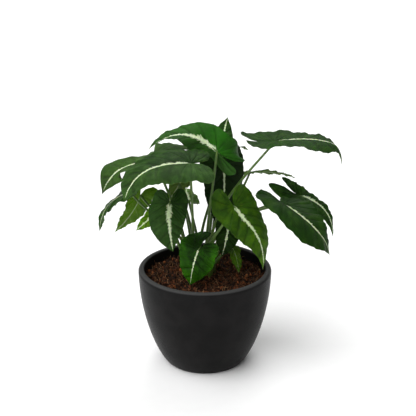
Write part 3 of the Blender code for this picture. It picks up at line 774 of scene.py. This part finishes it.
def lump_tree():
    """The soil's top raised in lumps and grains where its open_top attribute is one."""
    tree, given, sink = geometry_group("lumpy_top", [
        ("Lump Size", VALUE, 0.006), ("Lump Height", VALUE, 0.0016),
        ("Grain Size", VALUE, 0.0018), ("Grain Height", VALUE, 0.0008),
        ("Finish", FINISH, None)])
    here = out(add(tree, "GeometryNodeInputPosition"))
    lumps = noise(tree, here, 1.0 / given["Lump Size"], 3.0) - 0.5
    grains = noise(tree, here, 1.0 / given["Grain Size"], 2.0) - 0.5
    rise = lumps * given["Lump Height"] * 2.0 + grains * given["Grain Height"] * 2.0
    rise = rise * named(tree, "open_top")
    raised = add(tree, "GeometryNodeSetPosition", {"Geometry": given["Geometry"],
                                                   "Offset": vector(tree, 0.0, 0.0, rise)})
    return finish_group(tree, given, sink, out(raised))


def grown(obj, tree, **values):
    """The object with the tree's result as its plain mesh. A value's name has underscores for spaces."""
    step = obj.modifiers.new("shape", "NODES")
    step.node_group = tree
    sockets = {s.name: s.identifier for s in tree.interface.items_tree if s.in_out == "INPUT"}
    for label, value in values.items():
        step[sockets[label.replace("_", " ")]] = value
    bpy.context.view_layer.update()
    seen = obj.evaluated_get(bpy.context.evaluated_depsgraph_get())
    result = bpy.data.meshes.new_from_object(seen)
    obj.modifiers.clear()
    obj.data = result
    result.name = obj.name
    return obj


def add_object(name, data):
    made = bpy.data.objects.new(name, data)
    bpy.context.scene.collection.objects.link(made)
    return made


def piece(obj, slot, *nodes, sharp=40.0):
    """Smooths the piece, seats it on the part's one body and hides the CAD parts it stands for."""
    obj.data.shade_smooth()
    obj.data.set_sharp_from_angle(angle=math.radians(sharp))
    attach(obj, "root")
    if nodes:
        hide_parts(*nodes)
    return obj


def give(mesh, name, sort, domain, values):
    """Stores an attribute on the mesh."""
    layer = mesh.attributes.new(name, sort, domain)
    key = "vector" if sort == "FLOAT_VECTOR" else "value"
    layer.data.foreach_set(key, np.asarray(values, np.float32).ravel())


# Pot and soil

def outer_radius(z):
    t = min(max(z / POT_HEIGHT, 0.0), 1.0)
    return BASE_RADIUS + (RIM_RADIUS - BASE_RADIUS) * (1 - (1 - t) ** BELLY_REACH) ** (1 / BELLY_ROUND)


def inner_radius(z):
    return outer_radius(z) - WALL - (RIM_WALL - WALL) * max(z, 0.0) / POT_HEIGHT


def soil_height(x, y):
    edge = inner_radius(SOIL_EDGE) - GAP
    out_share = min(math.hypot(x, y) / edge, 1.0)
    mound = SOIL_MOUND * (1 - out_share ** 2)
    lumps = 0
    for share, per_x, per_y, start in SOIL_LUMPS:
        lumps += share * math.sin(per_x * x + per_y * y + start)
    return SOIL_EDGE + mound + SOIL_LUMP * lumps * (1 - out_share ** 6)


def disc_mesh(name, side=()):
    """The soil's top as rings about its middle; given a side, it goes on down to a closed body."""
    edge = inner_radius(SOIL_EDGE) - GAP
    points, faces, open_top = [(0.0, 0.0, soil_height(0, 0))], [], [1.0]
    rings = [(edge * k / SOIL_RINGS, None) for k in range(1, SOIL_RINGS + 1)] + list(side)
    for radius, height in rings:
        for k in range(SOIL_SIDES):
            a = 2 * math.pi * k / SOIL_SIDES
            x, y = radius * math.cos(a), radius * math.sin(a)
            points.append((x, y, soil_height(x, y) if height is None else height))
            open_top.append(min(max((edge - radius) / LUMPS_FADE, 0.0), 1.0) if height is None else 0.0)
    first = [1 + k for k in range(SOIL_SIDES)]
    faces += [(0, first[k], first[(k + 1) % SOIL_SIDES]) for k in range(SOIL_SIDES)]
    for ring in range(len(rings) - 1):
        start = 1 + ring * SOIL_SIDES
        for k in range(SOIL_SIDES):
            after = (k + 1) % SOIL_SIDES
            faces.append((start + k, start + SOIL_SIDES + k, start + SOIL_SIDES + after, start + after))
    if side:
        start = 1 + (len(rings) - 1) * SOIL_SIDES
        points.append((0.0, 0.0, side[-1][1]))
        open_top.append(0.0)
        last = len(points) - 1
        faces += [(start + (k + 1) % SOIL_SIDES, start + k, last) for k in range(SOIL_SIDES)]
    mesh = bpy.data.meshes.new(name)
    mesh.from_pydata(points, [], faces)
    give(mesh, "open_top", "FLOAT", "POINT", open_top)
    give(mesh, "shade", "FLOAT", "POINT", np.full(len(points), 0.25))
    return mesh


def build_pot():
    pot = add_object("pot_shell", bpy.data.meshes.new("pot_shell"))
    grown(pot, pot_tree(), Height=POT_HEIGHT, Base_Radius=BASE_RADIUS, Rim_Radius=RIM_RADIUS,
          Belly_Reach=BELLY_REACH, Belly_Round=BELLY_ROUND, Wall=WALL, Rim_Wall=RIM_WALL,
          Outer_Rounding=RIM_OUTER_ROUND, Inner_Rounding=RIM_INNER_ROUND, Floor=FLOOR,
          Foot_Rounding=INNER_FOOT_ROUND, Sides=POT_SIDES, Steps=POT_STEPS, Finish=pot_finish())
    piece(pot, "pot", "pot")


def build_soil():
    side = [(inner_radius(z) - GAP, z) for z in (*SOIL_SIDE_HEIGHTS, FLOOR + INNER_FOOT_ROUND)]
    side.append((side[-1][0] - INNER_FOOT_ROUND, FLOOR + GAP))
    earth = crumb_finish("soil_earth", colour(20, 10, 6), colour(60, 34, 20), 0.1)
    bark = crumb_finish("soil_bark_chip", colour(26, 12, 6), colour(172, 100, 56), 0.20)
    coir = crumb_finish("soil_coir", colour(28, 14, 8), colour(140, 82, 46), 0.20)
    strand = crumb_finish("soil_strand", colour(84, 50, 30), colour(196, 150, 108), 0.5)
    bed = grown(add_object("soil_bed", disc_mesh("soil_bed", side)), lump_tree(), Lump_Size=0.011,
                Lump_Height=0.0022, Grain_Size=0.0022, Grain_Height=0.0010, Finish=earth)
    piece(bed, "soil", "soil", sharp=60)
    flakes, strands = chip_tree(), fibre_tree()
    for litter, tree, finish in ((CHIPS, flakes, bark), (CRUMBS, flakes, coir), (FIBRES, strands, strand)):
        made = grown(add_object(litter.name, disc_mesh(litter.name)), tree, Seed=litter.seed,
                     Per_Square_Metre=litter.per_square_metre, Length=litter.length,
                     Thickness=litter.thickness, Finish=finish)
        piece(made, "soil", "soil", sharp=60)


# Leaves

def unit(v):
    return v / np.linalg.norm(v, axis=-1, keepdims=True)


def metres(point):
    return np.array(point, float) * MM


def outline_curve(steps=12):
    """The outline as a smooth Catmull-Rom curve."""
    p = np.array(OUTLINE)
    p = np.vstack([2 * p[0] - p[1], p, 2 * p[-1] - p[-2]])
    t = (np.arange(steps) / steps)[:, None]
    runs = []
    for a, b, c, d in zip(p[:-3], p[1:-2], p[2:-1], p[3:]):
        run = 2 * b + (c - a) * t
        run = run + (2 * a - 5 * b + 4 * c - d) * t ** 2
        run = run + (3 * b - a - 3 * c + d) * t ** 3
        runs.append(0.5 * run)
    return np.vstack(runs + [p[-2:-1]])


def margin(leaf, half, stations):
    """Evenly spaced points of one half's edge, round the lobe and on to the tip."""
    curve = outline_curve()
    curve[:, 0] = np.maximum(curve[:, 0], 0) * leaf.broad[half]
    curve[:, 1] *= np.where(curve[:, 1] < 0, leaf.lobe[half], 1.0)
    run = np.r_[0, np.cumsum(np.linalg.norm(np.diff(curve, axis=0), axis=1))]
    at = np.linspace(0, run[-1], stations + 1)
    return np.stack([np.interp(at, run, curve[:, 0]), np.interp(at, run, curve[:, 1])], -1)


def midrib_roots(stations):
    """Where the veins that reach the margin's stations leave the midrib."""
    edge = margin(Leaf("flat", (), (), (), (), ()), 0, stations)
    roots = np.maximum.accumulate(np.clip(edge[:, 1] - VEIN_SLANT * edge[:, 0], 0, 1))
    roots[-1] = 1.0
    return roots


def spine(leaf, y):
    """The midrib at share y of its length: an arc through joint, mid and tip, carried on behind them."""
    joint, mid, tip = metres(leaf.joint), metres(leaf.mid), metres(leaf.tip)
    arch = mid - (joint + tip) / 2
    y = np.asarray(y, float)[..., None]
    ahead, behind = np.maximum(y, 0), np.minimum(y, 0)
    bend = 4 * ahead * (1 - ahead) * (1 + leaf.skew * (1 - 2 * ahead))
    bend = bend + 4 * (1 + leaf.skew) * behind * (1 + 3 * (1 - leaf.follow) * behind)
    hooked = np.clip((y - HOOK_START) / (1 - HOOK_START), 0, None) ** 2
    return joint + (tip - joint) * y + arch * bend + metres(leaf.hook) * hooked


def midrib_frame(leaf, y):
    """Point, sideways and upward directions of the blade along its midrib."""
    y = np.asarray(y, float)
    along = unit(spine(leaf, y + MIDRIB_STEP) - spine(leaf, y - MIDRIB_STEP))
    faces = np.broadcast_to(np.array(leaf.faces, float), along.shape)
    up = unit(faces - (faces * along).sum(-1, keepdims=True) * along)
    side = np.cross(along, up)
    turn = np.radians(leaf.twist) * y[..., None]
    side, up = side * np.cos(turn) + up * np.sin(turn), up * np.cos(turn) - side * np.sin(turn)
    sag = leaf.droop * MM * (np.minimum(y, 0)[..., None] / LOBE_REACH) ** 2
    return spine(leaf, y) - up * sag, side, up


def blade_length(leaf):
    return float(np.linalg.norm(metres(leaf.tip) - metres(leaf.joint)))


def blade_points(leaf, half, x, y, share, reach, number):
    """Points of the curved blade for flat points x out from the midrib and y along it."""
    point, side, up = midrib_frame(leaf, y)
    length = blade_length(leaf)
    sign = (-1, 1)[half]
    width = HALF_WIDTH * leaf.broad[half]
    fold = np.radians(leaf.fold[0] + (leaf.fold[1] - leaf.fold[0]) * np.clip(y, 0, 1))
    bend = max(math.radians(leaf.curl[half]), 0.001) / width
    out_by = (np.sin(fold) - np.sin(fold - bend * x)) / bend
    rise = (np.cos(fold - bend * x) - np.cos(fold)) / bend
    ripple = np.sin(2 * np.pi * WAVES * share + (SIDE_PHASE, 0)[half])
    lift = rise * length + leaf.wave * MM * (x / width) ** 1.5 * ripple
    quilted = np.abs(np.sin(np.pi * share * VEINS)) ** 0.6 - 0.6
    lift = lift + QUILT * quilted * np.sin(np.pi * np.clip(reach, 0, 1) ** 0.7)
    start = 0.37 * number + 0.21 * half
    fine = np.sin(2 * np.pi * (FINE_FRILL_WAVES * share + 2.3 * start))
    frill = np.sin(2 * np.pi * (FRILL_WAVES * share + start)) + FINE_FRILL_SHARE * fine
    lift = lift + FRILL * reach ** 2 * frill * np.sin(np.pi * share) ** 0.5
    return point + side * (sign * out_by * length)[..., None] + up * lift[..., None]


def blade_sheet(leaf, number):
    """Middle surface of a blade: points, flat places, triangles and each triangle corner's vein phase."""
    roots = midrib_roots(BLADE_STATIONS)
    share = np.linspace(0, 1, BLADE_STATIONS + 1)
    length = blade_length(leaf)
    points, flat = [spine(leaf, 0.0)], [(0.0, 0.0)]
    midrib = []
    for root in roots:
        if root > flat[-1][1] / length:
            points.append(spine(leaf, root))
            flat.append((0.0, root * length))
        midrib.append(len(points) - 1)
    triangles, phases = [], []
    reach = (np.arange(1, BLADE_ROWS + 1) / BLADE_ROWS) ** ROW_SPREAD
    for half in (0, 1):
        edge = margin(leaf, half, BLADE_STATIONS)
        columns = []
        for k in range(BLADE_STATIONS):
            x = edge[k, 0] * reach
            y = roots[k] + (edge[k, 1] - roots[k]) * reach
            first = len(points)
            points.extend(blade_points(leaf, half, x, y, np.full(BLADE_ROWS, share[k]), reach, number))
            flat.extend(zip((-1, 1)[half] * x * length, y * length))
            columns.append([midrib[k]] + list(range(first, first + BLADE_ROWS)))
        columns.append([midrib[BLADE_STATIONS]] * (BLADE_ROWS + 1))
        for k, (near, far) in enumerate(zip(columns[:-1], columns[1:])):
            a, b = share[k] * VEINS, share[k + 1] * VEINS
            for r in range(BLADE_ROWS):
                for corners, phase in (((near[r], far[r], far[r + 1]), (a, b, b)),
                                       ((near[r], far[r + 1], near[r + 1]), (a, b, a))):
                    if len(set(corners)) == 3:
                        triangles.append(corners[::-1] if half else corners)
                        phases.append(phase[::-1] if half else phase)
    return np.array(points), np.array(flat), np.array(triangles), np.array(phases)


def vertex_normals(points, triangles):
    a, b, c = (points[triangles[:, k]] for k in range(3))
    facing = np.cross(b - a, c - a)
    normals = np.zeros_like(points)
    for k in range(3):
        np.add.at(normals, triangles[:, k], facing)
    return unit(normals)


def boundary(triangles):
    """The sheet's open edges, each as its triangle runs."""
    runs = {}
    for a, b, c in triangles:
        for edge in ((a, b), (b, c), (c, a)):
            runs[edge] = True
    return [edge for edge in runs if edge[::-1] not in runs]


def painted_light_share(look, flat, length):
    """How far each point of the blade goes over to the bright colour as painted light: about the lobes, tip
    and edge.
    """
    halves = np.where(flat[:, 0] < 0, look.painted_light[0], look.painted_light[1])
    along = np.clip(flat[:, 1] / length, -0.4, 1)
    outer = np.clip(2.2 * np.abs(flat[:, 0]) / length - 0.25, 0, 1) ** 2
    return (halves * np.clip(1.1 - 1.1 * along, 0, 1) + look.tip_painted_light * np.clip(1.6 * along - 0.6, 0, 1)
            + look.rim_painted_light * outer)


def stalk_route(leaf):
    """Centre line, thickness and share of length of a stalk, running on under the start of the midrib."""
    joint = metres(leaf.joint)
    foot = np.array([leaf.foot[0] * MM, leaf.foot[1] * MM, CROWN_HEIGHT])
    bow = metres(leaf.bow)
    reach = np.linalg.norm(joint - foot)
    first = foot + np.array([0, 0, STALK_RISE * reach]) + STALK_LOW_BOW * bow
    second = foot + (joint - foot) * STALK_LEAN + bow
    t = np.linspace(0, 1, STALK_STEPS + 1)[:, None]
    curve = ((1 - t) ** 3 * foot + 3 * (1 - t) ** 2 * t * first
             + 3 * (1 - t) * t ** 2 * second + t ** 3 * joint)
    buried = foot - np.array([0, 0, HOLE_DEPTH - GAP])
    route = np.vstack([buried, curve])
    run = np.r_[0, np.cumsum(np.linalg.norm(np.diff(route, axis=0), axis=1))]
    radius = STALK_FOOT_RADIUS + (STALK_TOP_RADIUS - STALK_FOOT_RADIUS) * run / run[-1]
    radius = radius * (1 + STALK_FLARE * np.exp(-((run - run[1]) / STALK_FLARE_REACH) ** 2))
    point, _, up = midrib_frame(leaf, RIB_STOPS)
    route[-1] = route[-1] - up[0] * RIB_BELOW
    under = point - up * RIB_BELOW
    along = np.r_[run / run[-1], np.ones(len(RIB_STOPS))]
    return np.vstack([route, under]), np.r_[radius, RIB_RADII], along


def leaf_mesh(leaf, look, number):
    """Both faces of the blade, its thin edge, and the stalk's path as loose edges."""
    sheet, flat, triangles, phases = blade_sheet(leaf, number)
    length = blade_length(leaf)
    normals = vertex_normals(sheet, triangles)
    fade = np.clip(1.05 - flat[:, 1] / length, 0, 1)
    ahead = flat[:, 1] > -0.004
    rib = np.exp(-(flat[:, 0] / RIB_WIDTH) ** 2) * fade * ahead
    upper = sheet + normals * (HALF_THICK - GROOVE_DEPTH * rib)[:, None]
    lower = sheet - normals * (HALF_THICK + RIB_DEPTH * rib)[:, None]
    count = len(sheet)
    walls = [(b, a, a + count, b, a + count, b + count) for a, b in boundary(triangles)]
    walls = np.array(walls).reshape(-1, 3)
    faces = np.vstack([triangles, triangles[:, ::-1] + count, walls])
    route, thickness, along = stalk_route(leaf)
    path = [(2 * count + k, 2 * count + k + 1) for k in range(len(route) - 1)]
    mesh = bpy.data.meshes.new(leaf.name)
    mesh.from_pydata(np.vstack([upper, lower, route]).tolist(), path, faces.tolist())
    give(mesh, "thickness", "FLOAT", "POINT", np.r_[np.zeros(2 * count), thickness])
    give(mesh, "along", "FLOAT", "POINT", np.r_[np.zeros(2 * count), along])
    # Painted light: shares of the bright colour for light through the blade and sheen on it
    painted_light = painted_light_share(look, flat, length)
    state = np.zeros((2 * count + len(route), 3))
    state[:count, 0] = 1
    state[:count, 1] = painted_light
    state[count:2 * count, 1] = painted_light
    give(mesh, "blade_state", "FLOAT_VECTOR", "POINT", state)
    corners = faces.ravel()
    place = np.zeros((len(corners), 3))
    place[:, :2] = flat[corners % count]
    place[:, 2] = np.r_[phases.ravel(), phases[:, ::-1].ravel(), np.full(len(walls) * 3, 0.5)]
    give(mesh, "blade_place", "FLOAT_VECTOR", "CORNER", place)
    return mesh


def keep_inside(mesh):
    """Holds every point inside the CAD model's box."""
    places = np.zeros(len(mesh.vertices) * 3)
    mesh.vertices.foreach_get("co", places)
    places = np.clip(places.reshape(-1, 3), CAD_LOW, CAD_HIGH)
    mesh.vertices.foreach_set("co", places.ravel())


def build_leaves():
    tree, stalk = stalk_tree(), stalk_finish()
    for number, leaf in enumerate(LEAVES):
        look = LOOKS.get(leaf.name, Look())
        made = add_object(leaf.name + "_blade", leaf_mesh(leaf, look, number))
        made.data.materials.append(blade_finish(leaf.name + "_green", look, blade_length(leaf)))
        grown(made, tree, Sides=STALK_SIDES, Finish=stalk)
        keep_inside(made.data)
        piece(made, "leaf", leaf.name, sharp=50)


def build_stems():
    tree = stalk_tree()
    finish = grain_finish("stem_skin", colour(92, 108, 48), colour(64, 82, 34), blotch=260.0, grit=1500.0,
                          rough=(0.45, 0.62), relief=0.0002)
    bottom = CROWN_HEIGHT - HOLE_DEPTH + GAP
    for stem in STEMS:
        top = CROWN_HEIGHT + stem.height * MM
        x, y = stem.foot[0] * MM, stem.foot[1] * MM
        route = [(x, y, bottom + (top - bottom) * share) for share, _ in STEM_SHAPE]
        mesh = bpy.data.meshes.new(stem.name)
        mesh.from_pydata(route, [(k, k + 1) for k in range(len(route) - 1)], [])
        give(mesh, "thickness", "FLOAT", "POINT", [stem.radius * MM * width for _, width in STEM_SHAPE])
        made = grown(add_object(stem.name + "_skin", mesh), tree, Sides=STEM_SIDES, Finish=finish)
        piece(made, "stem", stem.name, sharp=60)


# Studio

def build_floor():
    bpy.ops.mesh.primitive_plane_add(size=FLOOR_SIZE, location=(0, 0, 0))
    floor = bpy.context.object
    floor.name = "studio_floor"
    paper = grain_finish("floor_paper", colour(250, 250, 250), colour(247, 247, 247), blotch=3.0, grit=60.0,
                         rough=(0.9, 1.0), relief=0.0001, Specular_IOR_Level=0.1)
    floor.data.materials.append(paper)


def build_light():
    world = bpy.data.worlds.new("studio")
    bpy.context.scene.world = world
    world.use_nodes = True
    world.node_tree.nodes["Background"].inputs["Color"].default_value = (1, 1, 1, 1)
    world.node_tree.nodes["Background"].inputs["Strength"].default_value = ROOM_LIGHT
    for lamp in LAMPS:
        light = bpy.data.lights.new(lamp.name, "SUN")
        light.angle = math.radians(lamp.spread)
        light.energy = lamp.power
        holder = add_object(lamp.name, light)
        holder.rotation_euler = Vector(lamp.aim).to_track_quat("-Z", "Y").to_euler()


def build_camera():
    camera = bpy.data.cameras.new("camera")
    camera.sensor_width = CAMERA_SENSOR
    camera.lens = CAMERA_LENS
    camera.clip_start = 0.05
    camera.clip_end = 50.0
    holder = add_object("camera", camera)
    holder.location = CAMERA_PLACE
    holder.rotation_euler = (math.radians(90 - CAMERA_PITCH), 0, 0)
    scene = bpy.context.scene
    scene.camera = holder
    scene.view_settings.view_transform = "Standard"
    scene.view_settings.look = "None"


build_pot()
build_soil()
build_stems()
build_leaves()
build_floor()
build_light()
build_camera()
